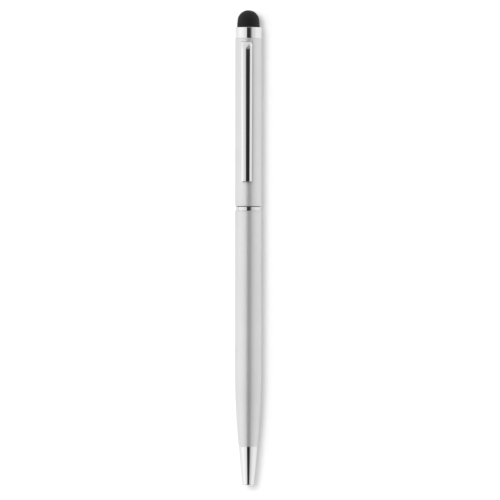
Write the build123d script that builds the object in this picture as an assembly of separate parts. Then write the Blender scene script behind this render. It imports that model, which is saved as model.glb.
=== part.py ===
from build123d import *
import os
from math import asin, cos, sin, sqrt

# A slim twist-action ballpoint pen with a rubber stylus on its upper end.
# Lengths are in millimetres and angles in degrees.
# Each piece is drawn on a bench where the pen stands on its nose: the axis is
# +Z, the nose's flat end is at zero height and the clip is on the +X side.
# lay_down() then sets it in the part's own frame, lying along X with the clip up.

# Fits: gaps on the radius or between faces
PRESS_GAP = 0.01
THREAD_GAP = 0.03
RUN_GAP = 0.05
GRIP_GAP = 0.03
END_PLAY = 0.05
CUT_OVERRUN = 0.5

# Barrels, drawn aluminium tube
BARREL_D = 7.5
BARREL_WALL = 0.4
LIP_ROUND_SHARE = 0.3

# Lower barrel: a straight stretch, then a long rounded taper to the nose
LOWER_STRAIGHT = 44.4
TAPER_LENGTH = 22.5
SEAM_D = 5.28
SEAT_WALL = 0.45
SEAT_RELIEF = 0.3

# Nose cone, turned and chromed, with a spigot pressed into the taper's end
NOSE_LENGTH = 11.0
NOSE_TIP_D = 3.22
NOSE_STEP = 0.01
NOSE_BULGE = 0.045
NOSE_ROUND_SHARE = 0.45
SPIGOT_LENGTH = 5.0
TIP_LAND = 2.4
FUNNEL_CLEARANCE = 0.6

# Centre ring, a chromed collar set back from the barrels
RING_WIDTH = 1.2
RING_STEP = 0.18
RING_ROUND = 0.08
TWIST_OPENING = 0.2

# Thread bush in the lower barrel's mouth
BUSH_LENGTH = 10.0
SHANK_D = 5.2

# Refill: a metal tube with a writing point in front and a threaded plastic end
REFILL_D = 2.9
REFILL_WALL = 0.22
REFILL_NOSE_GAP = 0.15
POINT_D = 2.2
POINT_GAP = 0.1
POINT_LENGTH = 8.0
POINT_CONE = 2.6
POINT_RIM_WALL = 0.1
POINT_SHANK = 4.0
BALL_D = 1.0
BALL_GAP = 0.02
BALL_PROUD = 0.3
INK_CHANNEL_D = 0.6
INK_LENGTH = 48.0
INK_GAP = 0.02
ADAPTER_SPIGOT = 3.0
ADAPTER_HEAD = 3.0
ADAPTER_THREAD_D = 2.3
ADAPTER_THREAD = 5.5

# Feed: how far the point is drawn in, how far it stands out, and the turn that moves it
RETRACT_DEPTH = 1.2
POINT_REACH = 3.0
TWIST_TURN = 120.0

# Twist mechanism: guide tube, turning sleeve, carriage and pin
GUIDE_GAP = 0.35
GUIDE_WALL = 0.42
SHANK_INSET = 1.0
FLANGE_THICKNESS = 0.9
FLANGE_GAP = 0.25
FLANGE_RIM = 0.12
FLANGE_RIM_STEP = 0.06
WASHER_THICKNESS = 0.4
SLEEVE_LENGTH = 23.0
SLEEVE_WALL = 0.45
SLOT_LOW = 6.5
SLOT_GAP = 0.05
PIN_D = 1.1
PIN_INSET = 0.15
PIN_ANGLE = -60.0
CARRIAGE_BELOW = 8.5
CARRIAGE_ABOVE = 2.0
RETAINER_DEPTH = 0.15
RETAINER_THICKNESS = 0.5
RETAINER_OPENING = 1.0
GUIDE_LAND = 0.5
CAP_WALL = 0.2
CAP_PLUG = 2.4
CAP_CLEARANCE = 0.75
CAP_HEAD = 0.8

# Upper barrel and the liner that grips the turning sleeve
UPPER_LENGTH = 47.7
LINER_CLEARANCE = 1.2
LINER_LENGTH = 18.0
LINER_LEAD_IN_SHARE = 0.5

# Clip bush in the top of the upper barrel
CLIP_BUSH_LENGTH = 9.5
CLIP_BUSH_WALL = 0.25

# Clip: spring strip that grows from a flat root into a crowned arm
CLIP_WIDTH = 3.13
CLIP_END_WIDTH = 2.91
CLIP_THICKNESS = 0.55
CLIP_LIFT = 0.75
CLIP_CROWN = 3.1
CLIP_ROOT_CROWN = 14.0
CLIP_ROOT_DEPTH = 0.9
CLIP_ROOT_DROP = 1.03
CLIP_FLARE = 1.2
CLIP_LENGTH = 39.8
CLIP_CURL_LENGTH = 1.4
CLIP_CURL_DROP = 0.08
CLIP_ROOT_ROUND = 0.35
CLIP_END_ROUND = 0.5
CLIP_GAP = 0.12
FOOT_WIDTH = 2.4
FOOT_LENGTH = 2.0

# Top collar, a chromed ferrule with a socket for the stylus dome
COLLAR_LENGTH = 3.1
COLLAR_STEP = 0.03
COLLAR_WALL = 0.46
COLLAR_ROUND_SHARE = 0.3
COLLAR_STEM = 7.0
SOCKET_DEPTH = 2.2

# Stylus dome, a hollow silicone thimble, and the stud that holds it
DOME_DRAFT = 0.14
DOME_SKIRT = 1.79
DOME_WALL = 0.75
DOME_FLANGE = 0.7
STUD_PIN_D = 1.2
STUD_PIN = 3.0
STUD_NECK_D = 2.5
STUD_GAP = 0.15
STUD_HEAD = 0.9
STUD_ROUND_SHARE = 0.4

# Radii
barrel_r = BARREL_D / 2
bore_r = barrel_r - BARREL_WALL
seam_r = SEAM_D / 2
seat_r = seam_r - SEAT_WALL
lip_round = BARREL_WALL * LIP_ROUND_SHARE
refill_r = REFILL_D / 2
refill_bore_r = refill_r - REFILL_WALL
point_r = POINT_D / 2
ball_r = BALL_D / 2
guide_bore_r = refill_r + GUIDE_GAP
guide_r = guide_bore_r + GUIDE_WALL
sleeve_bore_r = guide_r + RUN_GAP
sleeve_r = sleeve_bore_r + SLEEVE_WALL
shank_r = SHANK_D / 2
pin_r = PIN_D / 2
carriage_r = guide_bore_r - RUN_GAP
cap_recess_r = sleeve_r - CAP_WALL
retainer_r = cap_recess_r - RUN_GAP
retainer_groove_r = guide_r - RETAINER_DEPTH
clip_bend_x = bore_r - CLIP_ROOT_DEPTH
clip_foot_x = clip_bend_x - CLIP_THICKNESS
clip_outer = barrel_r + CLIP_LIFT + CLIP_THICKNESS
clip_bend_r = clip_outer - clip_bend_x
clip_pocket_x = clip_foot_x - CLIP_GAP
clip_bush_bore_r = clip_pocket_x - CLIP_BUSH_WALL
stem_r = clip_bush_bore_r - THREAD_GAP
collar_r = barrel_r - COLLAR_STEP
socket_r = collar_r - COLLAR_WALL
dome_base_r = socket_r - PRESS_GAP
dome_r = dome_base_r - DOME_DRAFT
dome_cavity_r = dome_r - DOME_WALL

# Heights on the bench, from the nose's flat end up
taper_top = NOSE_LENGTH + TAPER_LENGTH
lower_rim = taper_top + LOWER_STRAIGHT
ring_top = lower_rim + RING_WIDTH
flange_top = ring_top + FLANGE_THICKNESS
upper_mouth = ring_top + TWIST_OPENING
upper_rim = upper_mouth + UPPER_LENGTH
collar_top = upper_rim + COLLAR_LENGTH
socket_floor = collar_top - SOCKET_DEPTH
dome_centre = collar_top + DOME_SKIRT
pen_length = dome_centre + dome_r
seat_top = NOSE_LENGTH + SPIGOT_LENGTH + SEAT_RELIEF
feed = RETRACT_DEPTH + POINT_REACH
point_back = RETRACT_DEPTH + POINT_LENGTH
point_shank_top = point_back + POINT_SHANK
ball_centre = RETRACT_DEPTH + ball_r
funnel_top = point_back - feed - FUNNEL_CLEARANCE
sleeve_foot = flange_top + WASHER_THICKNESS + END_PLAY
sleeve_top = sleeve_foot + SLEEVE_LENGTH
cap_foot = sleeve_top - CAP_PLUG
guide_top = cap_foot - CAP_CLEARANCE
retainer_top = guide_top - GUIDE_LAND
retainer_foot = retainer_top - RETAINER_THICKNESS
cap_floor = retainer_foot - END_PLAY
pin_height = sleeve_foot + SLOT_LOW + feed
carriage_foot = pin_height - CARRIAGE_BELOW
adapter_foot = carriage_foot - ADAPTER_HEAD
clip_bush_foot = upper_rim - CLIP_BUSH_LENGTH
clip_root = upper_rim - CLIP_ROOT_DROP
clip_bend_height = clip_root - sqrt(clip_bend_r**2 - (barrel_r - clip_bend_x) ** 2)
clip_top = clip_bend_height + clip_bend_r
clip_end = clip_root - CLIP_LENGTH


def turned(*corners):
    """Turn a closed outline about the pen's axis: (radius, height) or (radius, height, rounding)."""
    points = [corner[:2] for corner in corners]
    rounds = [corner[2] if len(corner) > 2 else 0 for corner in corners]
    if any(rounds):
        return turned_face(FilletPolyline(*points, radius=rounds, close=True))
    return turned_face(Polyline(*points, close=True))


def turned_face(*runs):
    """Turn a closed outline made of lines and arcs about the pen's axis."""
    return revolve(Plane.XZ * make_face(list(runs)), Axis.Z)


def radial_pin(radius, start, stop, height, angle):
    """A round pin that lies across the axis, from one distance off it to another."""
    pin = Cylinder(radius, stop - start, align=(Align.CENTER, Align.CENTER, Align.MIN))
    return Pos(0, 0, height) * Rot(0, 0, angle) * Rot(0, 90, 0) * Pos(0, 0, start) * pin


def taper_radius(height, inset):
    """Radius of the lower barrel's taper, one arc that leaves the straight tube tangentially."""
    drop = barrel_r - seam_r
    arc_r = (TAPER_LENGTH**2 + drop**2) / (2 * drop)
    return barrel_r - arc_r + sqrt((arc_r - inset) ** 2 - (taper_top - height) ** 2)


def nose_cone():
    top_r = seam_r - NOSE_STEP
    tip_r = NOSE_TIP_D / 2
    tip_bore_r = point_r + POINT_GAP
    inner_r = refill_r + REFILL_NOSE_GAP
    spigot_r = seat_r - PRESS_GAP
    spigot_top = NOSE_LENGTH + SPIGOT_LENGTH
    bulge = ((tip_r + top_r) / 2 + NOSE_BULGE, NOSE_LENGTH / 2)
    skin = ThreePointArc((tip_r, 0), bulge, (top_r, NOSE_LENGTH))
    inside = Polyline(
        (top_r, NOSE_LENGTH),
        (spigot_r, NOSE_LENGTH),
        (spigot_r, spigot_top),
        (inner_r, spigot_top),
        (inner_r, funnel_top),
        (tip_bore_r, TIP_LAND),
        (tip_bore_r, 0),
        (tip_r, 0),
    )
    cone = turned_face(skin, inside)
    end_edges = cone.faces().sort_by(Axis.Z)[0].edges()
    return fillet(end_edges.sort_by(SortBy.LENGTH)[-1], (tip_r - tip_bore_r) * NOSE_ROUND_SHARE)


def lower_barrel():
    middle = NOSE_LENGTH + TAPER_LENGTH / 2
    skin = ThreePointArc(
        (seam_r, NOSE_LENGTH),
        (taper_radius(middle, 0), middle),
        (barrel_r, taper_top),
    )
    mouth = FilletPolyline(
        (barrel_r, taper_top),
        (barrel_r, lower_rim),
        (bore_r, lower_rim),
        (bore_r, taper_top),
        radius=[lip_round, 0],
    )
    middle = (seat_top + taper_top) / 2
    lining = ThreePointArc(
        (bore_r, taper_top),
        (taper_radius(middle, BARREL_WALL), middle),
        (taper_radius(seat_top, BARREL_WALL), seat_top),
    )
    seat = Polyline(
        (taper_radius(seat_top, BARREL_WALL), seat_top),
        (seat_r, seat_top),
        (seat_r, NOSE_LENGTH),
        (seam_r, NOSE_LENGTH),
    )
    return turned_face(skin, mouth, lining, seat)


def thread_bush():
    outer_r = bore_r - PRESS_GAP
    inner_r = shank_r + THREAD_GAP
    foot = lower_rim - BUSH_LENGTH
    return turned((inner_r, foot), (outer_r, foot), (outer_r, lower_rim), (inner_r, lower_rim))


def centre_ring():
    outer_r = barrel_r - RING_STEP
    inner_r = shank_r + THREAD_GAP
    return turned(
        (inner_r, lower_rim),
        (outer_r, lower_rim, RING_ROUND),
        (outer_r, ring_top, RING_ROUND),
        (inner_r, ring_top),
    )


def mechanism_tube():
    shank_foot = lower_rim - BUSH_LENGTH + SHANK_INSET
    flange_r = bore_r - FLANGE_GAP
    rim_r = barrel_r - RING_STEP - FLANGE_RIM_STEP
    rim_top = ring_top + FLANGE_RIM
    tube = turned(
        (guide_bore_r, shank_foot),
        (shank_r, shank_foot),
        (shank_r, ring_top),
        (rim_r, ring_top),
        (rim_r, rim_top),
        (flange_r, rim_top),
        (flange_r, flange_top),
        (guide_r, flange_top),
        (guide_r, retainer_foot),
        (retainer_groove_r, retainer_foot),
        (retainer_groove_r, retainer_top),
        (guide_r, retainer_top),
        (guide_r, guide_top),
        (guide_bore_r, guide_top),
    )
    return tube - straight_slot()


def straight_slot():
    """The guide's slot: it lets the pin slide along the tube and keeps it from turning."""
    slot_r = pin_r + SLOT_GAP
    reach = guide_r + CUT_OVERRUN
    slot = Pos(reach / 2, 0, pin_height - feed / 2) * Box(reach, 2 * slot_r, feed)
    ends = [radial_pin(slot_r, 0, reach, pin_height - share * feed, 0) for share in (0, 1)]
    return Rot(0, 0, PIN_ANGLE) * (slot + ends)


def retaining_ring():
    inner_r = retainer_groove_r + PRESS_GAP
    ring = turned(
        (inner_r, retainer_foot),
        (retainer_r, retainer_foot),
        (retainer_r, retainer_top),
        (inner_r, retainer_top),
    )
    reach = retainer_r + CUT_OVERRUN
    height = RETAINER_THICKNESS + 2 * CUT_OVERRUN
    middle = (retainer_foot + retainer_top) / 2
    return ring - Pos(reach / 2, 0, middle) * Box(reach, RETAINER_OPENING, height)


def drag_washer():
    inner_r = guide_r + RUN_GAP
    top = flange_top + WASHER_THICKNESS
    return turned((inner_r, flange_top), (sleeve_r, flange_top), (sleeve_r, top), (inner_r, top))


def twist_sleeve():
    sleeve = turned(
        (sleeve_bore_r, sleeve_foot),
        (sleeve_r, sleeve_foot),
        (sleeve_r, sleeve_top),
        (cap_recess_r, sleeve_top),
        (cap_recess_r, cap_floor),
        (sleeve_bore_r, cap_floor),
    )
    return sleeve - helical_slot()


def helical_slot():
    """The sleeve's slot: it falls by the feed over the turn, so turning the sleeve drives the pin."""
    slot_r = pin_r + SLOT_GAP
    middle_r = (sleeve_bore_r + sleeve_r) / 2
    depth = SLEEVE_WALL + 2 * CUT_OVERRUN
    low = pin_height - feed
    path = Helix(feed * 360 / TWIST_TURN, feed, middle_r, lefthand=True)
    start = Plane(origin=path @ 0, x_dir=(1, 0, 0), z_dir=path % 0)
    run = sweep(start * Rectangle(depth, 2 * slot_r), path, is_frenet=True)
    inner = sleeve_bore_r - CUT_OVERRUN
    outer = sleeve_r + CUT_OVERRUN
    low_end = radial_pin(slot_r, inner, outer, low, PIN_ANGLE + TWIST_TURN)
    high_end = radial_pin(slot_r, inner, outer, pin_height, PIN_ANGLE)
    return Pos(0, 0, low) * Rot(0, 0, PIN_ANGLE + TWIST_TURN) * run + low_end + high_end


def twist_sleeve_cap():
    plug_r = cap_recess_r - PRESS_GAP
    top = sleeve_top + CAP_HEAD
    return turned(
        (0, cap_foot),
        (plug_r, cap_foot),
        (plug_r, sleeve_top),
        (sleeve_r, sleeve_top),
        (sleeve_r, top),
        (0, top),
    )


def carriage():
    top = pin_height + CARRIAGE_ABOVE
    socket_r = ADAPTER_THREAD_D / 2 + THREAD_GAP
    socket_top = carriage_foot + ADAPTER_THREAD + END_PLAY
    slider = turned(
        (socket_r, carriage_foot),
        (carriage_r, carriage_foot),
        (carriage_r, top),
        (0, top),
        (0, socket_top),
        (socket_r, socket_top),
    )
    reach = carriage_r + CUT_OVERRUN
    return slider - radial_pin(pin_r + PRESS_GAP, -reach, reach, pin_height, PIN_ANGLE)


def carriage_pin():
    return radial_pin(pin_r, PIN_INSET - carriage_r, sleeve_r - PIN_INSET, pin_height, PIN_ANGLE)


def refill_adapter():
    spigot_r = refill_bore_r - PRESS_GAP
    thread_r = ADAPTER_THREAD_D / 2
    spigot_foot = adapter_foot - ADAPTER_SPIGOT
    thread_top = carriage_foot + ADAPTER_THREAD
    return turned(
        (0, spigot_foot),
        (spigot_r, spigot_foot),
        (spigot_r, adapter_foot),
        (refill_r, adapter_foot),
        (refill_r, carriage_foot),
        (thread_r, carriage_foot),
        (thread_r, thread_top),
        (0, thread_top),
    )


def refill_tube():
    return turned(
        (refill_bore_r, point_back),
        (refill_r, point_back),
        (refill_r, adapter_foot),
        (refill_bore_r, adapter_foot),
    )


def refill_point():
    rim = RETRACT_DEPTH + BALL_PROUD
    cone_top = RETRACT_DEPTH + POINT_CONE
    shank = refill_bore_r - PRESS_GAP
    channel_r = INK_CHANNEL_D / 2
    body = turned(
        (0, rim),
        (ball_r + POINT_RIM_WALL, rim),
        (point_r, cone_top),
        (point_r, point_back),
        (shank, point_back),
        (shank, point_shank_top),
        (0, point_shank_top),
    )
    socket = Pos(0, 0, ball_centre) * Sphere(ball_r + BALL_GAP)
    channel_length = point_shank_top + CUT_OVERRUN - ball_centre
    channel = Cylinder(channel_r, channel_length, align=(Align.CENTER, Align.CENTER, Align.MIN))
    return body - socket - Pos(0, 0, ball_centre) * channel


def refill_ball():
    return Pos(0, 0, ball_centre) * Sphere(ball_r)


def ink_column():
    outer_r = refill_bore_r - INK_GAP
    top = point_shank_top + INK_LENGTH
    return turned((0, point_shank_top), (outer_r, point_shank_top), (outer_r, top), (0, top))


def upper_barrel():
    tube = turned(
        (bore_r, upper_mouth),
        (barrel_r, upper_mouth, lip_round),
        (barrel_r, upper_rim),
        (bore_r, upper_rim),
    )
    return tube - clip_slot()


def clip_slot():
    """The window through the barrel's wall that the clip's root comes out of."""
    under_r = clip_bend_r - CLIP_THICKNESS
    low = clip_bend_height + sqrt(under_r**2 - (barrel_r - clip_bend_x) ** 2) - CLIP_GAP
    high = clip_bend_height + sqrt(clip_bend_r**2 - CLIP_ROOT_DEPTH**2) + CLIP_GAP
    reach = barrel_r + CUT_OVERRUN
    return Pos(reach / 2, 0, (low + high) / 2) * Box(reach, CLIP_WIDTH + 2 * CLIP_GAP, high - low)


def friction_sleeve():
    outer_r = bore_r - PRESS_GAP
    inner_r = sleeve_r + GRIP_GAP
    foot = flange_top + LINER_CLEARANCE
    top = foot + LINER_LENGTH
    lead_in = (outer_r - inner_r) * LINER_LEAD_IN_SHARE
    return turned(
        (inner_r + lead_in, foot),
        (outer_r, foot),
        (outer_r, top),
        (inner_r, top),
        (inner_r, foot + lead_in),
    )


def clip_bush():
    outer_r = bore_r - PRESS_GAP
    bush = turned(
        (clip_bush_bore_r, clip_bush_foot),
        (outer_r, clip_bush_foot),
        (outer_r, upper_rim),
        (clip_bush_bore_r, upper_rim),
    )
    pocket_foot = clip_top - FOOT_LENGTH - CLIP_GAP
    depth = outer_r + CUT_OVERRUN - clip_pocket_x
    height = upper_rim + CUT_OVERRUN - pocket_foot
    pocket = Box(depth, CLIP_WIDTH + 2 * CLIP_GAP, height)
    return bush - Pos(clip_pocket_x + depth / 2, 0, pocket_foot + height / 2) * pocket


def clip_section(height, crown, outer_x):
    """A cut across the clip: a strip of even thickness, bowed outwards to the crown's radius."""
    centre = outer_x - crown
    under = crown - CLIP_THICKNESS
    half_angle = asin(CLIP_WIDTH / 2 / under)
    across = sin(half_angle)
    along = cos(half_angle)
    back_left, back_right = [(centre + crown * along, side * crown * across) for side in (-1, 1)]
    under_left, under_right = [(centre + under * along, side * under * across) for side in (-1, 1)]
    back = ThreePointArc(back_left, (outer_x, 0), back_right)
    belly = ThreePointArc(under_right, (centre + under, 0), under_left)
    face = make_face([back, Line(back_right, under_right), belly, Line(under_left, back_left)])
    return Pos(0, 0, height) * face


def clip_plan():
    """The clip's outline seen from above it, as a prism that trims the strip to its width."""
    half = CLIP_WIDTH / 2
    end_half = CLIP_END_WIDTH / 2
    outline = FilletPolyline(
        (-half, clip_top),
        (half, clip_top),
        (end_half, clip_end),
        (-end_half, clip_end),
        radius=[CLIP_ROOT_ROUND, CLIP_ROOT_ROUND, CLIP_END_ROUND, CLIP_END_ROUND],
        close=True,
    )
    return extrude(Plane.YZ * make_face(outline), clip_outer + CUT_OVERRUN)


def clip():
    root = clip_section(clip_bend_height, CLIP_ROOT_CROWN, clip_outer)
    shoulder = clip_section(clip_bend_height - CLIP_FLARE, CLIP_CROWN, clip_outer)
    curl = clip_section(clip_end + CLIP_CURL_LENGTH, CLIP_CROWN, clip_outer)
    end = clip_section(clip_end, CLIP_CROWN, clip_outer - CLIP_CURL_DROP)
    arm = loft([end, curl, shoulder, root], ruled=True)
    bend_axis = Axis((clip_bend_x, 0, clip_bend_height), (0, -1, 0))
    bend = revolve(root, bend_axis, 90)
    strip = (arm + bend) & clip_plan()
    foot = Box(CLIP_THICKNESS, FOOT_WIDTH, FOOT_LENGTH, align=(Align.MIN, Align.CENTER, Align.MAX))
    return strip + Pos(clip_foot_x, 0, clip_top) * foot


def top_collar():
    stem_foot = upper_rim - COLLAR_STEM
    hole_r = STUD_PIN_D / 2 + PRESS_GAP
    hole_foot = socket_floor - STUD_PIN - END_PLAY
    return turned(
        (0, stem_foot),
        (stem_r, stem_foot),
        (stem_r, upper_rim),
        (collar_r, upper_rim),
        (collar_r, collar_top, COLLAR_WALL * COLLAR_ROUND_SHARE),
        (socket_r, collar_top),
        (socket_r, socket_floor),
        (hole_r, socket_floor),
        (hole_r, hole_foot),
        (0, hole_foot),
    )


def stylus_tip():
    hole_r = STUD_NECK_D / 2 + PRESS_GAP
    flange_top_height = socket_floor + DOME_FLANGE
    slant = sqrt(1 / 2)
    skin = ThreePointArc(
        (dome_r, dome_centre),
        (dome_r * slant, dome_centre + dome_r * slant),
        (0, dome_centre + dome_r),
    )
    crown = Line((0, dome_centre + dome_r), (0, dome_centre + dome_cavity_r))
    hollow = ThreePointArc(
        (0, dome_centre + dome_cavity_r),
        (dome_cavity_r * slant, dome_centre + dome_cavity_r * slant),
        (dome_cavity_r, dome_centre),
    )
    skirt = Polyline(
        (dome_cavity_r, dome_centre),
        (dome_cavity_r, flange_top_height),
        (hole_r, flange_top_height),
        (hole_r, socket_floor),
        (dome_base_r, socket_floor),
        (dome_base_r, collar_top),
        (dome_r, dome_centre),
    )
    return turned_face(skin, crown, hollow, skirt)


def stylus_plug():
    pin = STUD_PIN_D / 2
    neck = STUD_NECK_D / 2
    head = dome_cavity_r - STUD_GAP
    foot = socket_floor - STUD_PIN
    neck_top = socket_floor + DOME_FLANGE
    top = neck_top + STUD_HEAD
    return turned(
        (0, foot),
        (pin, foot),
        (pin, socket_floor),
        (neck, socket_floor),
        (neck, neck_top),
        (head, neck_top),
        (head, top, STUD_HEAD * STUD_ROUND_SHARE),
        (0, top),
    )


def lay_down(piece):
    """From the bench to the part's frame: nose towards -X, clip up, resting on the ground."""
    ground = Plane(origin=(-pen_length / 2, 0, barrel_r), x_dir=(0, 0, 1), z_dir=(1, 0, 0))
    return ground.location * piece


PIECES = [
    nose_cone,
    lower_barrel,
    thread_bush,
    centre_ring,
    mechanism_tube,
    retaining_ring,
    drag_washer,
    twist_sleeve,
    twist_sleeve_cap,
    carriage,
    carriage_pin,
    refill_adapter,
    refill_tube,
    refill_point,
    refill_ball,
    ink_column,
    upper_barrel,
    friction_sleeve,
    clip_bush,
    clip,
    top_collar,
    stylus_tip,
    stylus_plug,
]

os.makedirs("parts", exist_ok=True)
for make_piece in PIECES:
    export_step(lay_down(make_piece()), f"parts/{make_piece.__name__}.step")
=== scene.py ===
import bmesh
import bpy
from math import cos, pi, radians, sin, sqrt, tan
from mathutils import Matrix, Vector


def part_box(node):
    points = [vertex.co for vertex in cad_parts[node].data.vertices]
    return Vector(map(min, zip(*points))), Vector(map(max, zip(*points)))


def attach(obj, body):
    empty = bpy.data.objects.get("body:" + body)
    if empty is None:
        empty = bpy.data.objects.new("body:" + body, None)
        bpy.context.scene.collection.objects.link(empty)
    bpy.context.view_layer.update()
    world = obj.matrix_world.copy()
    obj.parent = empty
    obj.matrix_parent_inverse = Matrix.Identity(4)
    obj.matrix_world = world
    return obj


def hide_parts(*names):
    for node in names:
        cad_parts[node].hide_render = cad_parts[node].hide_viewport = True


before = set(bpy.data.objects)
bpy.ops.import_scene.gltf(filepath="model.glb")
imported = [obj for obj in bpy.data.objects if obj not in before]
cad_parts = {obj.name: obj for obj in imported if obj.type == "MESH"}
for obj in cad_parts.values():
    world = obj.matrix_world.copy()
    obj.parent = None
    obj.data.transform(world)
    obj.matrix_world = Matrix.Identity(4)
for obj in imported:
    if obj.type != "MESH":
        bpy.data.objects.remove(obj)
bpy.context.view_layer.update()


# Lower barrel: drawn aluminium tube, turned to a long rounded taper at the front.
# It is bead-blasted and clear-anodised, so light lies on it in soft bands.
# The rest of the lower half is pressed or screwed into it.

MM = 0.001
AXIS_HEIGHT = sum(corner.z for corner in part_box("lower_barrel")) / 2


def span(node):
    """Where a turned node starts and ends along the pen, and its radius, in mm."""
    low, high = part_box(node)
    return low.x / MM, high.x / MM, (high.y - low.y) / 2 / MM


def linear(code):
    """An sRGB hex colour as linear RGBA."""
    shares = [int(code[i:i + 2], 16) / 255 for i in (1, 3, 5)]
    return [c / 12.92 if c <= 0.04045 else ((c + 0.055) / 1.055) ** 2.4 for c in shares] + [1]


def wire(tree, node, sockets):
    """Set or link a node's sockets, by name or number."""
    for key, value in sockets.items():
        if isinstance(value, bpy.types.NodeSocket):
            tree.links.new(value, node.inputs[key])
        else:
            node.inputs[key].default_value = value


def add(tree, kind, sockets=None, **settings):
    """A new node with its settings and its sockets set or linked."""
    node = tree.nodes.new(kind)
    for name, value in settings.items():
        setattr(node, name, value)
    wire(tree, node, sockets or {})
    return node


def new_finish(name):
    """A material with its tree, its shader and the piece's own coordinates."""
    material = bpy.data.materials.new(name)
    material.use_nodes = True
    tree = material.node_tree
    place = add(tree, "ShaderNodeTexCoord").outputs["Object"]
    return material, tree, tree.nodes["Principled BSDF"], place


# Satin aluminium: glass-bead blast leaves pits of about 0.05 mm, drawn at 0.22 mm so that they show.
# They blur the reflection evenly all round, and the milky anodic film scatters a share of the light.
# A colour mix has its two colours at inputs MIX_FIRST and MIX_SECOND, and its result at MIX_RESULT.
SATIN_GRAIN = 0.22
SATIN_PIT_DEPTH = 0.02
SATIN_CLOUD = 9.0
BARE_SHARE = 0.75
MIX_FIRST = 6
MIX_SECOND = 7
MIX_RESULT = 2
satin, tree, shader, place = new_finish("blasted_anodised_aluminium")
grain = add(tree, "ShaderNodeTexNoise", {"Vector": place, "Scale": 1 / (SATIN_GRAIN * MM), "Detail": 2.0})
cloud = add(tree, "ShaderNodeTexNoise", {"Vector": place, "Scale": 1 / (SATIN_CLOUD * MM), "Detail": 3.0})
tone = add(tree, "ShaderNodeMix", {
    "Factor": cloud.outputs["Fac"], MIX_FIRST: linear("#e0e0e0"), MIX_SECOND: linear("#e9e9e9"),
}, data_type="RGBA")
matt = add(tree, "ShaderNodeMapRange", {"Value": grain.outputs["Fac"], "To Min": 0.34, "To Max": 0.42})
pits = add(tree, "ShaderNodeBump", {
    "Height": grain.outputs["Fac"], "Strength": 0.12, "Distance": SATIN_PIT_DEPTH * MM,
})
wire(tree, shader, {
    "Base Color": tone.outputs[MIX_RESULT], "Metallic": BARE_SHARE, "Roughness": matt.outputs["Result"],
    "Normal": pits.outputs["Normal"],
})

# The lathe: an outline with a rounding at each corner, swept round the pen's axis on a small circle.
# Points closer together than WELD are merged, and folds over SHARP stay crisp.
PATH_R = 1.0
LATHE_SEGMENTS = 96
ROUND_STEPS = 6
WELD = 0.001
SHARP = radians(35)
turning = bpy.data.node_groups.new("turning", "GeometryNodeTree")
turning.is_modifier = True
for label, kind in (("Outline", "Geometry"), ("Segments", "Int"), ("Round Steps", "Int"),
                    ("Axis Height", "Float"), ("Material", "Material")):
    turning.interface.new_socket(name=label, in_out="INPUT", socket_type="NodeSocket" + kind)
turning.interface.new_socket(name="Piece", in_out="OUTPUT", socket_type="NodeSocketGeometry")
given = add(turning, "NodeGroupInput").outputs
line = add(turning, "GeometryNodeMeshToCurve", {"Mesh": given["Outline"]})
rounding = add(turning, "GeometryNodeInputNamedAttribute", {"Name": "rounding"}, data_type="FLOAT")
eased = add(turning, "GeometryNodeFilletCurve", {
    "Curve": line.outputs[0], "Count": given["Round Steps"],
    "Radius": rounding.outputs[0], "Limit Radius": True,
}, mode="POLY")
inset = add(turning, "GeometryNodeTransform", {
    "Geometry": eased.outputs[0], "Translation": (-PATH_R * MM, 0, 0),
})
path = add(turning, "GeometryNodeCurvePrimitiveCircle", {
    "Resolution": given["Segments"], "Radius": PATH_R * MM,
})
swept = add(turning, "GeometryNodeCurveToMesh", {
    "Curve": path.outputs[0], "Profile Curve": inset.outputs[0],
})
joined = add(turning, "GeometryNodeMergeByDistance", {
    "Geometry": swept.outputs[0], "Distance": WELD * MM,
})
outward = add(turning, "GeometryNodeFlipFaces", {"Mesh": joined.outputs[0]})
fold = add(turning, "GeometryNodeInputMeshEdgeAngle")
crisp = add(turning, "FunctionNodeCompare", {0: fold.outputs[0], 1: SHARP}, operation="GREATER_THAN")
marked = add(turning, "GeometryNodeStoreNamedAttribute", {
    "Geometry": outward.outputs[0], "Name": "sharp_edge", "Value": crisp.outputs[0],
}, data_type="BOOLEAN", domain="EDGE")
smooth = add(turning, "GeometryNodeSetShadeSmooth", {"Geometry": marked.outputs[0]})
lift = add(turning, "ShaderNodeCombineXYZ", {"Z": given["Axis Height"]})
laid = add(turning, "GeometryNodeTransform", {
    "Geometry": smooth.outputs[0], "Translation": lift.outputs[0], "Rotation": (0, pi / 2, 0),
})
real = add(turning, "GeometryNodeRealizeInstances", {"Geometry": laid.outputs[0]})
coated = add(turning, "GeometryNodeSetMaterial", {
    "Geometry": real.outputs[0], "Material": given["Material"],
})
add(turning, "NodeGroupOutput", {"Piece": coated.outputs[0]})


def new_object(name, mesh):
    """An object in the scene for a mesh."""
    thing = bpy.data.objects.new(name, mesh)
    bpy.context.scene.collection.objects.link(thing)
    return thing


def even_normals(mesh):
    """Weight the normals by area, so that a small rounding doesn't bend the look of a large face."""
    around = [[] for _ in mesh.vertices]
    for face in mesh.polygons:
        for spot in face.vertices:
            around[spot].append(face)
    normals = [None] * len(mesh.loops)
    for face in mesh.polygons:
        for loop, spot in zip(face.loop_indices, face.vertices):
            near = [other for other in around[spot] if other.normal.dot(face.normal) > cos(SHARP)]
            normals[loop] = sum((other.normal * other.area for other in near), Vector()).normalized()
    mesh.normals_split_custom_set(normals)


def finished(draft, name):
    """The draft with its modifiers applied, as a plain mesh object."""
    now = draft.evaluated_get(bpy.context.evaluated_depsgraph_get())
    mesh = bpy.data.meshes.new_from_object(now)
    bpy.data.objects.remove(draft)
    mesh.name = name
    even_normals(mesh)
    return new_object(name, mesh)


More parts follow.
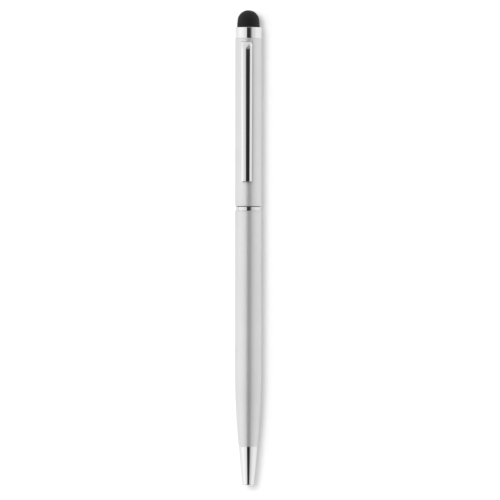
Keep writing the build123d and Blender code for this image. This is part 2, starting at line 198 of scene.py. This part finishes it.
def drafted(name, outline, material, closed=True):
    """A lathe draft from an outline of (radius, along) or (radius, along, rounding), in mm."""
    mesh = bpy.data.meshes.new(name)
    count = len(outline)
    edges = [(i, (i + 1) % count) for i in range(count if closed else count - 1)]
    mesh.from_pydata([(point[0] * MM, -point[1] * MM, 0) for point in outline], edges, [])
    rounds = mesh.attributes.new("rounding", "FLOAT", "POINT")
    rounds.data.foreach_set("value", [point[2] * MM if len(point) > 2 else 0 for point in outline])
    draft = new_object(name + "_draft", mesh)
    lathe = draft.modifiers.new("lathe", "NODES")
    lathe.node_group = turning
    values = {
        "Segments": LATHE_SEGMENTS, "Round Steps": ROUND_STEPS,
        "Axis Height": AXIS_HEIGHT, "Material": material,
    }
    for item in turning.interface.items_tree:
        if item.name in values:
            lathe[item.identifier] = values[item.name]
    return draft


def fitted(piece, node, body):
    """Let a piece stand for a CAD node on its body."""
    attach(piece, body)
    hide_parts(node)


BARREL_WALL = 0.4
LIP_ROUND = 0.03
TAPER = 22.5
TAPER_STEPS = 40
SEAM_R = 2.64
SEAM_ROUND = 0.05
SEAT_R = 2.19
SEAT_DEPTH = 5.3
seam, lower_rim, barrel_r = span("lower_barrel")
bore_r = barrel_r - BARREL_WALL
arc_r = (TAPER**2 + (barrel_r - SEAM_R) ** 2) / (2 * (barrel_r - SEAM_R))


def taper_run(start, inset):
    """The taper's arc from a distance behind the seam up to the straight tube, inset by a wall."""
    stops = [start + (TAPER - start) * i / TAPER_STEPS for i in range(TAPER_STEPS + 1)]
    return [(barrel_r - arc_r + sqrt((arc_r - inset) ** 2 - (TAPER - s) ** 2), seam + s) for s in stops]


skin = taper_run(0, 0)
skin[0] += (SEAM_ROUND,)
lining = taper_run(SEAT_DEPTH, BARREL_WALL)[::-1]
outline = skin + [(barrel_r, lower_rim, LIP_ROUND), (bore_r, lower_rim)] + lining
outline += [(SEAT_R, seam + SEAT_DEPTH), (SEAT_R, seam)]
lower_tube = finished(drafted("lower_tube", outline, satin), "lower_tube")
fitted(lower_tube, "lower_barrel", "lower_half")


# Nose cone: turned brass, polished and chrome-plated, with a flat open end.
# Its spigot is pressed into the end of the taper, and the writing point slides through its bore.

# Chrome plate: a mirror that shows what is round it sharply, with a slight polishing haze and hardly any
# ripple. Its marks, and those of the finishes below, are MARK_DEPTH deep.
CHROME_HAZE = 2.5
CHROME_RIPPLE = 1.4
MARK_DEPTH = 0.01
chrome, tree, shader, place = new_finish("polished_chrome_plate")
haze = add(tree, "ShaderNodeTexNoise", {"Vector": place, "Scale": 1 / (CHROME_HAZE * MM), "Detail": 4.0})
ripple = add(tree, "ShaderNodeTexNoise", {"Vector": place, "Scale": 1 / (CHROME_RIPPLE * MM), "Detail": 1.0})
shine = add(tree, "ShaderNodeMapRange", {"Value": haze.outputs["Fac"], "To Min": 0.015, "To Max": 0.04})
wave = add(tree, "ShaderNodeBump", {
    "Height": ripple.outputs["Fac"], "Strength": 0.03, "Distance": MARK_DEPTH * MM,
})
wire(tree, shader, {
    "Base Color": linear("#f0f0f0"), "Metallic": 1.0, "Roughness": shine.outputs["Result"],
    "Normal": wave.outputs["Normal"],
})

NOSE_LENGTH = 11.0
NOSE_TOP_R = 2.63
NOSE_TIP_R = 1.61
NOSE_BULGE = 0.045
NOSE_STEPS = 16
NOSE_END_ROUND = 0.18
NOSE_TOP_ROUND = 0.03
NOSE_BORE_ROUND = 0.03
SEAM_GAP = 0.1
TIP_BORE_R = 1.2
TIP_LAND = 2.4
FUNNEL_TOP = 4.4
NOSE_BORE_R = 1.6
SPIGOT_R = 2.18
nose_end, spigot_end, _ = span("nose_cone")
skin_length = NOSE_LENGTH - SEAM_GAP
skin = []
for i in range(NOSE_STEPS + 1):
    share = i / NOSE_STEPS
    bulge = 4 * NOSE_BULGE * share * (1 - share)
    radius = NOSE_TIP_R + (NOSE_TOP_R - NOSE_TIP_R) * share + bulge
    skin.append((radius, nose_end + skin_length * share))
skin[0] += (NOSE_END_ROUND,)
skin[-1] += (NOSE_TOP_ROUND,)
outline = skin + [
    (SPIGOT_R, nose_end + skin_length),
    (SPIGOT_R, spigot_end),
    (NOSE_BORE_R, spigot_end),
    (NOSE_BORE_R, nose_end + FUNNEL_TOP),
    (TIP_BORE_R, nose_end + TIP_LAND),
    (TIP_BORE_R, nose_end, NOSE_BORE_ROUND),
]
nose = finished(drafted("nose", outline, chrome), "nose")
fitted(nose, "nose_cone", "lower_half")


# Hardware of the lower half: a turned brass bush pressed into the barrel's mouth, and screwed into it
# the moulded black guide tube. Its flange fills the gap above the centre ring, and the dark line it makes
# there is partly the part and partly painted shade for that narrow gap.

# Bare turned brass: the tool leaves rings about 0.08 mm apart across the axis, which streak its shine.
# Round the axis they change only over RING_STRETCH.
TOOL_RINGS = 0.08
RING_STRETCH = 50 / 3
brass, tree, shader, place = new_finish("turned_brass")
along = add(tree, "ShaderNodeMapping", {
    "Vector": place, "Scale": (1 / (TOOL_RINGS * MM), 1 / (RING_STRETCH * MM), 1 / (RING_STRETCH * MM)),
})
rings = add(tree, "ShaderNodeTexNoise", {"Vector": along.outputs["Vector"], "Scale": 1.0, "Detail": 2.0})
dull = add(tree, "ShaderNodeMapRange", {"Value": rings.outputs["Fac"], "To Min": 0.2, "To Max": 0.36})
cuts = add(tree, "ShaderNodeBump", {
    "Height": rings.outputs["Fac"], "Strength": 0.2, "Distance": MARK_DEPTH * MM,
})
wire(tree, shader, {
    "Base Color": linear("#d3b066"), "Metallic": 1.0, "Roughness": dull.outputs["Result"],
    "Normal": cuts.outputs["Normal"],
})

# Black nylon: moulded with a matt spark-eroded grain, which spreads its shine to a soft dark grey.
NYLON_GRAIN = 0.15
nylon, tree, shader, place = new_finish("moulded_black_nylon")
grain = add(tree, "ShaderNodeTexNoise", {"Vector": place, "Scale": 1 / (NYLON_GRAIN * MM), "Detail": 3.0})
dull = add(tree, "ShaderNodeMapRange", {"Value": grain.outputs["Fac"], "To Min": 0.42, "To Max": 0.58})
texture = add(tree, "ShaderNodeBump", {
    "Height": grain.outputs["Fac"], "Strength": 0.2, "Distance": MARK_DEPTH * MM,
})
# This grey also sets the painted shade of the twist gap, where the guide tube's flange shows.
wire(tree, shader, {
    "Base Color": linear("#4c4c4c"), "Roughness": dull.outputs["Result"], "IOR": 1.53,
    "Normal": texture.outputs["Normal"],
})

# Limits for smoothing the solids' faceted faces: how far a round face may lean along the axis and off
# its cylinder, the fold that stays a crease, and how close together points are merged.
AXIAL_SHARE = 0.02
ROUND_FACE = radians(20)
CREASE = radians(30)
MERGE = 0.0005


def rounded_normals(mesh):
    """Give faces that lie round the pen's axis the true normals of their cylinder."""
    normals = [corner.vector.copy() for corner in mesh.corner_normals]
    for face in mesh.polygons:
        if abs(face.normal.x) > AXIAL_SHARE:
            continue
        for corner in face.loop_indices:
            spot = mesh.vertices[mesh.loops[corner].vertex_index].co
            away = Vector((0, spot.y, spot.z - AXIS_HEIGHT)).normalized()
            if abs(away.dot(face.normal)) > cos(ROUND_FACE):
                normals[corner] = away if away.dot(face.normal) > 0 else -away
    mesh.normals_split_custom_set(normals)


def dressed(node, name, body, material):
    """Replace a CAD node by a smooth-shaded copy of it with a new finish."""
    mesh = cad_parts[node].data.copy()
    shape = bmesh.new()
    shape.from_mesh(mesh)
    bmesh.ops.remove_doubles(shape, verts=shape.verts, dist=MERGE * MM)
    shape.to_mesh(mesh)
    shape.free()
    mesh.shade_smooth()
    mesh.set_sharp_from_angle(angle=CREASE)
    rounded_normals(mesh)
    mesh.materials.clear()
    mesh.materials.append(material)
    mesh.name = name
    fitted(new_object(name, mesh), node, body)


dressed("thread_bush", "mouth_bush", "lower_half", brass)
# The guide tube's dark flange in the gap above the centre ring is partly painted shade for that gap.
dressed("mechanism_tube", "guide_tube", "lower_half", nylon)


# Centre ring: a chromed collar clamped between the lower barrel and the guide tube's flange.
# It is set back a little from both barrels, and its edges are eased.

# Satin chrome plate: the ring is turned and not polished, so rings about 0.1 mm apart blur its reflection.
TURN_MARKS = 0.1
satin_chrome, tree, shader, place = new_finish("satin_chrome_plate")
along = add(tree, "ShaderNodeMapping", {
    "Vector": place, "Scale": (1 / (TURN_MARKS * MM), 1 / (RING_STRETCH * MM), 1 / (RING_STRETCH * MM)),
})
rings = add(tree, "ShaderNodeTexNoise", {"Vector": along.outputs["Vector"], "Scale": 1.0, "Detail": 2.0})
shine = add(tree, "ShaderNodeMapRange", {"Value": rings.outputs["Fac"], "To Min": 0.09, "To Max": 0.13})
marks = add(tree, "ShaderNodeBump", {
    "Height": rings.outputs["Fac"], "Strength": 0.06, "Distance": MARK_DEPTH * MM,
})
wire(tree, shader, {
    "Base Color": linear("#e5e5e5"), "Metallic": 1.0, "Roughness": shine.outputs["Result"],
    "Normal": marks.outputs["Normal"],
})

RING_BORE_R = 2.63
RING_ROUND = 0.04
RING_FOOT_ROUND = 0.12
ring_start, ring_end, ring_r = span("centre_ring")
outline = [
    (ring_r, ring_start, RING_FOOT_ROUND),
    (ring_r, ring_end, RING_ROUND),
    (RING_BORE_R, ring_end),
    (RING_BORE_R, ring_start),
]
ring = finished(drafted("twist_ring", outline, satin_chrome), "twist_ring")
fitted(ring, "centre_ring", "lower_half")


# Twist drive: a moulded sleeve with the helical slot, its plug, a snap ring and a friction washer.
# The snap ring keeps the sleeve on the guide tube, and the washer gives the turn its drag.

# White acetal: a waxy plastic with a fine mould texture, which keeps its shine soft.
ACETAL_GRAIN = 0.3
acetal, tree, shader, place = new_finish("moulded_white_acetal")
grain = add(tree, "ShaderNodeTexNoise", {"Vector": place, "Scale": 1 / (ACETAL_GRAIN * MM), "Detail": 3.0})
tone = add(tree, "ShaderNodeMix", {
    "Factor": grain.outputs["Fac"], MIX_FIRST: linear("#e4e3dd"), MIX_SECOND: linear("#efeee9"),
}, data_type="RGBA")
dull = add(tree, "ShaderNodeMapRange", {"Value": grain.outputs["Fac"], "To Min": 0.34, "To Max": 0.46})
texture = add(tree, "ShaderNodeBump", {
    "Height": grain.outputs["Fac"], "Strength": 0.1, "Distance": MARK_DEPTH * MM,
})
wire(tree, shader, {
    "Base Color": tone.outputs[MIX_RESULT], "Roughness": dull.outputs["Result"], "IOR": 1.48,
    "Normal": texture.outputs["Normal"],
})

# Spring steel: bright drawn wire and strip, its shine broken up by fine die marks.
DIE_MARKS = 0.05
steel, tree, shader, place = new_finish("drawn_spring_steel")
marks = add(tree, "ShaderNodeTexNoise", {"Vector": place, "Scale": 1 / (DIE_MARKS * MM), "Detail": 2.0})
dull = add(tree, "ShaderNodeMapRange", {"Value": marks.outputs["Fac"], "To Min": 0.2, "To Max": 0.32})
wire(tree, shader, {"Base Color": linear("#bdbfc2"), "Metallic": 1.0, "Roughness": dull.outputs["Result"]})

dressed("drag_washer", "friction_washer", "lower_half", nylon)
dressed("twist_sleeve", "helix_sleeve", "twist_drive", acetal)
dressed("retaining_ring", "snap_ring", "lower_half", steel)
dressed("twist_sleeve_cap", "sleeve_plug", "twist_drive", acetal)


# Refill and its carriage: an acetal slider with a cross pin in both slots, and on it a metal
# ballpoint refill: threaded plastic end, drawn tube, turned point, carbide ball and paste ink.

# Nickel silver: drawn tube and turned ends, with fine lines along the draw that stretch its shine.
DRAW_LINES = 0.06
DRAW_STRETCH = 12.5
nickel, tree, shader, place = new_finish("drawn_nickel_silver")
across = add(tree, "ShaderNodeMapping", {
    "Vector": place, "Scale": (1 / (DRAW_STRETCH * MM), 1 / (DRAW_LINES * MM), 1 / (DRAW_LINES * MM)),
})
lines = add(tree, "ShaderNodeTexNoise", {"Vector": across.outputs["Vector"], "Scale": 1.0, "Detail": 2.0})
dull = add(tree, "ShaderNodeMapRange", {"Value": lines.outputs["Fac"], "To Min": 0.18, "To Max": 0.3})
wire(tree, shader, {"Base Color": linear("#d2cdbe"), "Metallic": 1.0, "Roughness": dull.outputs["Result"]})

# Tungsten carbide: ground and lapped to a dark even shine.
LAP_MARKS = 0.08
carbide, tree, shader, place = new_finish("lapped_carbide")
marks = add(tree, "ShaderNodeTexNoise", {"Vector": place, "Scale": 1 / (LAP_MARKS * MM), "Detail": 2.0})
dull = add(tree, "ShaderNodeMapRange", {"Value": marks.outputs["Fac"], "To Min": 0.1, "To Max": 0.2})
wire(tree, shader, {"Base Color": linear("#a6a8ab"), "Metallic": 1.0, "Roughness": dull.outputs["Result"]})

# Paste ink: thick dark blue oil, glossy and slightly uneven in tone.
INK_SWIRL = 1.2
ink, tree, shader, place = new_finish("ballpoint_paste")
swirl = add(tree, "ShaderNodeTexNoise", {"Vector": place, "Scale": 1 / (INK_SWIRL * MM), "Detail": 3.0})
tone = add(tree, "ShaderNodeMix", {
    "Factor": swirl.outputs["Fac"], MIX_FIRST: linear("#0c1030"), MIX_SECOND: linear("#161d4a"),
}, data_type="RGBA")
wire(tree, shader, {"Base Color": tone.outputs[MIX_RESULT], "Roughness": 0.22})

for node, name, slot, material in (
    ("carriage", "refill_slider", "white_acetal", acetal),
    ("carriage_pin", "cross_pin", "spring_steel", steel),
    ("refill_adapter", "refill_end", "black_nylon", nylon),
    ("refill_tube", "ink_tube", "nickel_silver", nickel),
    ("refill_point", "writing_point", "nickel_silver", nickel),
    ("ink_column", "ink", "paste_ink", ink),
):
    dressed(node, name, "refill", material)
dressed("refill_ball", "writing_ball", "ball", carbide)


# Upper barrel: the same satin tube as the lower one, straight from end to end.
# A window is cut through its wall near the top, where the clip's root comes out,
# and a nylon liner pressed into its mouth grips the twist sleeve.

RIM_ROUND = 0.06
WINDOW_HALF = 1.595
WINDOW_START = 57.71
WINDOW_END = 58.51
WINDOW_SLANT_SHARE = 0.475
WINDOW_REACH = 1.6
mouth, upper_rim, barrel_r = span("upper_barrel")
outline = [
    (barrel_r, mouth, LIP_ROUND),
    (barrel_r, upper_rim, RIM_ROUND),
    (bore_r, upper_rim),
    (bore_r, mouth),
]
draft = drafted("upper_tube", outline, satin)
cutter = bpy.data.meshes.new("window_cutter")
shape = bmesh.new()
slant = WINDOW_SLANT_SHARE * WINDOW_REACH
for side in (-WINDOW_HALF, WINDOW_HALF):
    for x, z in (
        (WINDOW_START, -WINDOW_REACH),
        (WINDOW_END + slant, -WINDOW_REACH),
        (WINDOW_END - slant, WINDOW_REACH),
        (WINDOW_START, WINDOW_REACH),
    ):
        shape.verts.new((x * MM, side * MM, AXIS_HEIGHT + (barrel_r + z) * MM))
bmesh.ops.convex_hull(shape, input=shape.verts)
shape.to_mesh(cutter)
shape.free()
window = new_object("window_cutter", cutter)
cut = draft.modifiers.new("window", "BOOLEAN")
cut.object = window
cut.solver = "EXACT"
upper_tube = finished(draft, "upper_tube")
bpy.data.objects.remove(window)
rounded_normals(upper_tube.data)
fitted(upper_tube, "upper_barrel", "upper_half")
dressed("friction_sleeve", "grip_liner", "upper_half", nylon)


# Clip: a narrow strip of spring steel, pressed to a flat back with two sloping flanks and chrome-plated.
# Its root bends through the window, and its foot is trapped in a pocket of the brass bush.

CLIP_END_WIDTH = 2.91
CLIP_THICKNESS = 0.55
CLIP_BROW_DROP = 0.052
CLIP_BROW_POWER = 3
CLIP_BELLY = 3.1
CLIP_ROOT_CROWN = 30.0
CLIP_FLANK = 0.5
CLIP_FLANK_SLOPE = radians(42)
CLIP_CREASE = 0.07
CLIP_BEND_R = 2.6
CLIP_CURL = 0.25
CLIP_CURL_DROP = 0.1
CLIP_END_ROUND = 0.25
CLIP_END_STOPS = (0, 0.01, 0.03, 0.06, 0.1, 0.15, 0.2, CLIP_END_ROUND)
CLIP_EDGE_ROUND = 0.07
CLIP_EDGE_STEPS = 3
CLIP_EDGE_ANGLE = radians(50)
FOOT_BEND_R = 0.6
FOOT_WIDTH = 2.4
FOOT_DROP = 1.4
FLAT_START_SHARE = 0.48
FLAT_END_SHARE = 0.64
BACK_POINTS = 11
STRIP_STEPS = 16
BEND_STEPS = 18
FOOT_STEPS = 8
low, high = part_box("clip")
clip_end = low.x / MM
clip_root = high.x / MM
clip_back = high.z / MM
root_half = (high.y - low.y) / 2 / MM
end_half = CLIP_END_WIDTH / 2
strip_start = clip_end + CLIP_END_ROUND
bend_start = clip_root - CLIP_BEND_R


def clip_half(along):
    """Half the clip's width, which narrows evenly to the end."""
    return end_half + (root_half - end_half) * (along - clip_end) / (clip_root - clip_end)


# Stations along the clip's back: place along and up, lean of the back, half width, trim at each side
# and flatness. They go from the curled end along the strip, down the bend of the root, where the section
# eases over to flat, and round to the foot.
stations = []
for step in CLIP_END_STOPS:
    drop = CLIP_CURL_DROP * max(1 - step / CLIP_CURL, 0) ** 2
    trim = CLIP_END_ROUND - sqrt(CLIP_END_ROUND**2 - (CLIP_END_ROUND - step) ** 2)
    stations.append((clip_end + step, clip_back - drop, 0, clip_half(clip_end + step), trim, 0))
for i in range(1, STRIP_STEPS + 1):
    spot = strip_start + (bend_start - strip_start) * i / STRIP_STEPS
    stations.append((spot, clip_back, 0, clip_half(spot), 0, 0))
for i in range(1, BEND_STEPS + 1):
    share = i / BEND_STEPS
    turn = pi / 2 * share
    ease = min(max(share - FLAT_START_SHARE, 0) / (FLAT_END_SHARE - FLAT_START_SHARE), 1)
    spot = bend_start + CLIP_BEND_R * sin(turn)
    up = clip_back - CLIP_BEND_R * (1 - cos(turn))
    stations.append((spot, up, turn, clip_half(spot), 0, ease * ease * (3 - 2 * ease)))
tip, up = stations[-1][:2]
for i in range(1, FOOT_STEPS + 1):
    turn = pi / 2 + pi / 2 * i / FOOT_STEPS
    spot = tip - FOOT_BEND_R + FOOT_BEND_R * sin(turn)
    stations.append((spot, up + FOOT_BEND_R * cos(turn), turn, FOOT_WIDTH / 2, 0, 1))
spot, up = stations[-1][:2]
stations.append((spot - FOOT_DROP, up, pi, FOOT_WIDTH / 2, 0, 1))

# Each station's section goes over the back from one side to the other, and returns along the belly.
points = []
for spot, up, lean, half, trim, flat in stations:
    belly = 1 / (flat / CLIP_ROOT_CROWN + (1 - flat) / CLIP_BELLY)
    slope = CLIP_FLANK_SLOPE * (1 - flat)
    fold = half - CLIP_FLANK
    inner = [(fold - CLIP_CREASE) * (2 * i / (BACK_POINTS - 1) - 1) for i in range(BACK_POINTS)]
    across = [trim - half, -fold - CLIP_CREASE] + inner + [fold + CLIP_CREASE, half - trim]
    section = []
    for aside in across:
        brow = min(abs(aside), fold)
        fall = CLIP_BROW_DROP * (1 - flat) * (brow / fold) ** CLIP_BROW_POWER
        section.append((aside, fall + (abs(aside) - brow) * tan(slope)))
    for aside in across[::-1]:
        section.append((aside, belly - sqrt((belly - CLIP_THICKNESS) ** 2 - aside**2)))
    points += [(spot - fall * sin(lean), aside, up - fall * cos(lean)) for aside, fall in section]

# Faces round the strip from each station to the next, and across its two ends.
faces = []
loop = len(points) // len(stations)
for row in range(len(stations) - 1):
    for i in range(loop):
        here, there = row * loop + i, row * loop + (i + 1) % loop
        faces.append((here, here + loop, there + loop, there))
for base, order in ((0, 1), ((len(stations) - 1) * loop, -1)):
    for i in range(loop // 2 - 1):
        face = (base + i, base + i + 1, base + loop - 2 - i, base + loop - 1 - i)
        faces.append(face[::order])
mesh = bpy.data.meshes.new("spring_clip")
mesh.from_pydata([[value * MM for value in point] for point in points], [], faces)
mesh.materials.append(chrome)
mesh.shade_smooth()
mesh.set_sharp_from_angle(angle=CLIP_EDGE_ANGLE)
draft = new_object("clip_draft", mesh)
edge = draft.modifiers.new("eased_edges", "BEVEL")
edge.width = CLIP_EDGE_ROUND * MM
edge.segments = CLIP_EDGE_STEPS
edge.limit_method = "ANGLE"
edge.angle_limit = CLIP_EDGE_ANGLE
spring_clip = finished(draft, "spring_clip")
fitted(spring_clip, "clip", "clip")
dressed("clip_bush", "clip_pocket_bush", "upper_half", brass)


# Top collar: a chromed ferrule screwed into the clip bush by its stem.
# It closes the upper barrel, and its socket takes the stylus dome.

COLLAR_SHOULDER = 0.1
COLLAR_FOOT_ROUND = 0.06
COLLAR_LENGTH = 3.1
STEM_R = 1.5
SOCKET_R = 3.26
SOCKET_DEPTH = 2.2
STUD_HOLE_R = 0.61
STUD_HOLE_DEPTH = 3.05
stem_foot, collar_end, collar_r = span("top_collar")
collar_start = collar_end - COLLAR_LENGTH
socket_floor = collar_end - SOCKET_DEPTH
outline = [
    (0, stem_foot),
    (STEM_R, stem_foot),
    (STEM_R, collar_start),
    (collar_r, collar_start, COLLAR_FOOT_ROUND),
    (collar_r, collar_end, COLLAR_SHOULDER),
    (SOCKET_R, collar_end),
    (SOCKET_R, socket_floor),
    (STUD_HOLE_R, socket_floor),
    (STUD_HOLE_R, socket_floor - STUD_HOLE_DEPTH),
    (0, socket_floor - STUD_HOLE_DEPTH),
]
collar = finished(drafted("stylus_collar", outline, chrome, closed=False), "stylus_collar")
fitted(collar, "top_collar", "upper_half")


# Stylus tip: a thimble of soft conductive silicone, moulded hollow so that it gives on a screen.
# Its inner rim is held down in the collar's socket by the head of a brass stud.

# Conductive silicone: carbon black makes it deep grey-black, and its moulded skin is matt.
SILICONE_GRAIN = 0.12
SILICONE_BLOOM = 1.5
silicone, tree, shader, place = new_finish("conductive_silicone")
grain = add(tree, "ShaderNodeTexNoise", {"Vector": place, "Scale": 1 / (SILICONE_GRAIN * MM), "Detail": 2.0})
bloom = add(tree, "ShaderNodeTexNoise", {"Vector": place, "Scale": 1 / (SILICONE_BLOOM * MM), "Detail": 4.0})
tone = add(tree, "ShaderNodeMix", {
    "Factor": bloom.outputs["Fac"], MIX_FIRST: linear("#0c0c0c"), MIX_SECOND: linear("#121212"),
}, data_type="RGBA")
dull = add(tree, "ShaderNodeMapRange", {"Value": bloom.outputs["Fac"], "To Min": 0.55, "To Max": 0.7})
texture = add(tree, "ShaderNodeBump", {
    "Height": grain.outputs["Fac"], "Strength": 0.25, "Distance": MARK_DEPTH * MM,
})
wire(tree, shader, {
    "Base Color": tone.outputs[MIX_RESULT], "Roughness": dull.outputs["Result"], "IOR": 1.41,
    "Normal": texture.outputs["Normal"],
})

DOME_SKIRT = 1.79
DOME_WALL = 0.75
DOME_FLANGE = 0.7
STUD_NECK_R = 1.26
DOME_STEPS = 24
dome_foot, dome_top, dome_base_r = span("stylus_tip")
dome_centre = collar_end + DOME_SKIRT
dome_r = dome_top - dome_centre
cavity_r = dome_r - DOME_WALL
quarter = [pi / 2 * i / DOME_STEPS for i in range(DOME_STEPS + 1)]
outline = [(cavity_r * sin(a), dome_centre + cavity_r * cos(a)) for a in quarter]
outline += [
    (cavity_r, dome_foot + DOME_FLANGE),
    (STUD_NECK_R, dome_foot + DOME_FLANGE),
    (STUD_NECK_R, dome_foot),
    (dome_base_r, dome_foot),
    (dome_base_r, collar_end),
]
outline += [(dome_r * cos(a), dome_centre + dome_r * sin(a)) for a in quarter]
dome = finished(drafted("stylus_dome", outline, silicone, closed=False), "stylus_dome")
fitted(dome, "stylus_tip", "upper_half")
dressed("stylus_plug", "dome_stud", "upper_half", brass)


# Studio: the pen lies on a white table under a white tent. The tent is open in a slot above the
# pen, where the camera looks in, and that slot is the dark band along the metal.

# The camera: 2 m off, so that it sees the pen square-on, and leaning a little from the vertical.
CAMERA_DISTANCE = 2.0
CAMERA_LEAN = radians(6.3)
CAMERA_ROLL = radians(0.055)
FRAME_WIDTH = 142.17
AIM_ALONG = -0.68
AIM_ASIDE = 0.51
SENSOR = 36.0
scene = bpy.context.scene
scene.view_settings.view_transform = "Standard"
back = Vector((0, -sin(CAMERA_LEAN), cos(CAMERA_LEAN)))
level_right = Vector((0, -cos(CAMERA_LEAN), -sin(CAMERA_LEAN)))
level_up = Vector((1, 0, 0))
right = level_right * cos(CAMERA_ROLL) + level_up * sin(CAMERA_ROLL)
up = level_up * cos(CAMERA_ROLL) - level_right * sin(CAMERA_ROLL)
aim = Vector((0, 0, AXIS_HEIGHT)) + level_up * AIM_ALONG * MM + level_right * AIM_ASIDE * MM
facing = Matrix((right, up, back)).transposed().to_4x4()
camera = bpy.data.objects.new("camera", bpy.data.cameras.new("camera"))
scene.collection.objects.link(camera)
camera.matrix_world = Matrix.Translation(aim + back * CAMERA_DISTANCE) @ facing
camera.data.sensor_width = SENSOR
camera.data.lens = SENSOR * CAMERA_DISTANCE / (FRAME_WIDTH * MM)
scene.camera = camera

# The tent's brightness by the angle in degrees round the pen from the camera's side, left to right.
TENT = (
    (-90, 1.05), (-85, 1.06), (-68, 1.09), (-53, 1.02), (-43, 0.97), (-34, 0.89), (-25, 0.83),
    (-16, 0.77), (-13.7, 0.76), (-13.1, 0.022), (12, 0.022), (20, 0.07), (28.5, 0.42), (37.4, 0.65),
    (47, 0.75), (57, 0.77), (67, 0.87), (77.5, 0.95), (90, 0.93),
)
# Its two ends, by the sine of the angle along the pen: their brightness, and how far they close the slot.
TENT_ENDS = (
    (-1, 0.15, 1), (-0.75, 0.1, 1), (-0.45, 0.06, 0.4), (-0.25, 0.06, 0), (-0.13, 0.74, 0),
    (-0.1, 0.74, 0.15), (-0.04, 0.74, 0.15), (-0.015, 0.74, 0), (0.02, 0.74, 0), (0.1, 0.74, 0.12),
    (0.3, 0.74, 0.34), (0.69, 0.74, 0.45), (0.95, 0.74, 0.8), (1, 0.74, 0.9),
)
# Each becomes a colour ramp, whose new stops start at MIDDLE_SHARE and are then moved to their places.
MIDDLE_SHARE = 0.5
world = bpy.data.worlds.new("tent")
scene.world = world
world.use_nodes = True
tree = world.node_tree
heading = add(tree, "ShaderNodeTexCoord").outputs["Generated"]
aside, above, ahead = (
    add(tree, "ShaderNodeVectorMath", {0: heading, 1: axis}, operation="DOT_PRODUCT").outputs["Value"]
    for axis in (level_right, back, level_up)
)
angle = add(tree, "ShaderNodeMath", {0: aside, 1: above}, operation="ARCTAN2")
share = add(tree, "ShaderNodeMapRange", {
    "Value": angle.outputs[0], "From Min": -pi / 2, "From Max": pi / 2,
})
cloth = add(tree, "ShaderNodeValToRGB", {"Fac": share.outputs["Result"]})
reach = add(tree, "ShaderNodeMapRange", {"Value": ahead, "From Min": -1.0, "From Max": 1.0})
ends = add(tree, "ShaderNodeValToRGB", {"Fac": reach.outputs["Result"]})
for ramp, levels in ((cloth, TENT), (ends, TENT_ENDS)):
    first, last = levels[0][0], levels[-1][0]
    stops = ramp.color_ramp.elements
    while len(stops) < len(levels):
        stops.new(MIDDLE_SHARE)
    for stop, (mark, level, *cover) in zip(stops, levels):
        stop.position = (mark - first) / (last - first)
        stop.color = [level] * 3 + (cover or [1])
tent = add(tree, "ShaderNodeMix", {
    "Factor": ends.outputs["Alpha"], MIX_FIRST: cloth.outputs["Color"], MIX_SECOND: ends.outputs["Color"],
}, data_type="RGBA")
rays = add(tree, "ShaderNodeLightPath")
seen = add(tree, "ShaderNodeMath", {
    0: rays.outputs["Is Camera Ray"], 1: rays.outputs["Is Transmission Ray"],
}, operation="MAXIMUM")
shown = add(tree, "ShaderNodeMix", {
    "Factor": seen.outputs[0], MIX_FIRST: tent.outputs[MIX_RESULT], MIX_SECOND: linear("#ffffff"),
}, data_type="RGBA")
wire(tree, tree.nodes["Background"], {"Color": shown.outputs[MIX_RESULT], "Strength": 1.0})

# A lamp up on the left, which the metal doesn't show, gives the table its light and the soft shadow.
LAMP_ASIDE = radians(12)
LAMP_ALONG = radians(13)
LAMP_SPREAD = radians(30)
LAMP_STRENGTH = 1.64
lamp = bpy.data.objects.new("lamp", bpy.data.lights.new("lamp", "SUN"))
scene.collection.objects.link(lamp)
lamp.data.energy = LAMP_STRENGTH
lamp.data.angle = LAMP_SPREAD
toward = Vector((tan(LAMP_ALONG), tan(LAMP_ASIDE), 1))
lamp.matrix_world = toward.to_track_quat("Z", "Y").to_matrix().to_4x4()
lamp.visible_glossy = False

# The table: 4 m square and matt white, with enough glow that it reads as paper where nothing shades it.
# In the metal it shows partly as plain white, so that the pen's own shadow doesn't darken its edge.
TABLE_HALF = 2.0
TABLE_GLOW = 0.175
MIRRORED_LEVEL = 0.98
MIRRORED_SHARE = 0.6
mesh = bpy.data.meshes.new("table")
corners = ((-1, -1), (1, -1), (1, 1), (-1, 1))
mesh.from_pydata([(x * TABLE_HALF, y * TABLE_HALF, 0) for x, y in corners], [], [(0, 1, 2, 3)])
table = new_object("table", mesh)
paper = bpy.data.materials.new("white_paper")
paper.use_nodes = True
tree = paper.node_tree
tree.nodes.clear()
matt = add(tree, "ShaderNodeBsdfDiffuse", {"Color": linear("#f2f2f2")})
rays = add(tree, "ShaderNodeLightPath")
seen = add(tree, "ShaderNodeMath", {
    0: rays.outputs["Is Camera Ray"], 1: rays.outputs["Is Transmission Ray"],
}, operation="MAXIMUM")
level = add(tree, "ShaderNodeMath", {0: seen.outputs[0], 1: TABLE_GLOW}, operation="MULTIPLY")
glow = add(tree, "ShaderNodeEmission", {"Strength": level.outputs[0]})
both = add(tree, "ShaderNodeAddShader", {0: matt.outputs[0], 1: glow.outputs[0]})
mirrored = add(tree, "ShaderNodeMath", {
    0: rays.outputs["Is Glossy Ray"], 1: MIRRORED_SHARE,
}, operation="MULTIPLY")
plain = add(tree, "ShaderNodeEmission", {"Strength": MIRRORED_LEVEL})
shown = add(tree, "ShaderNodeMixShader", {0: mirrored.outputs[0], 1: both.outputs[0], 2: plain.outputs[0]})
add(tree, "ShaderNodeOutputMaterial", {"Surface": shown.outputs[0]})
mesh.materials.append(paper)
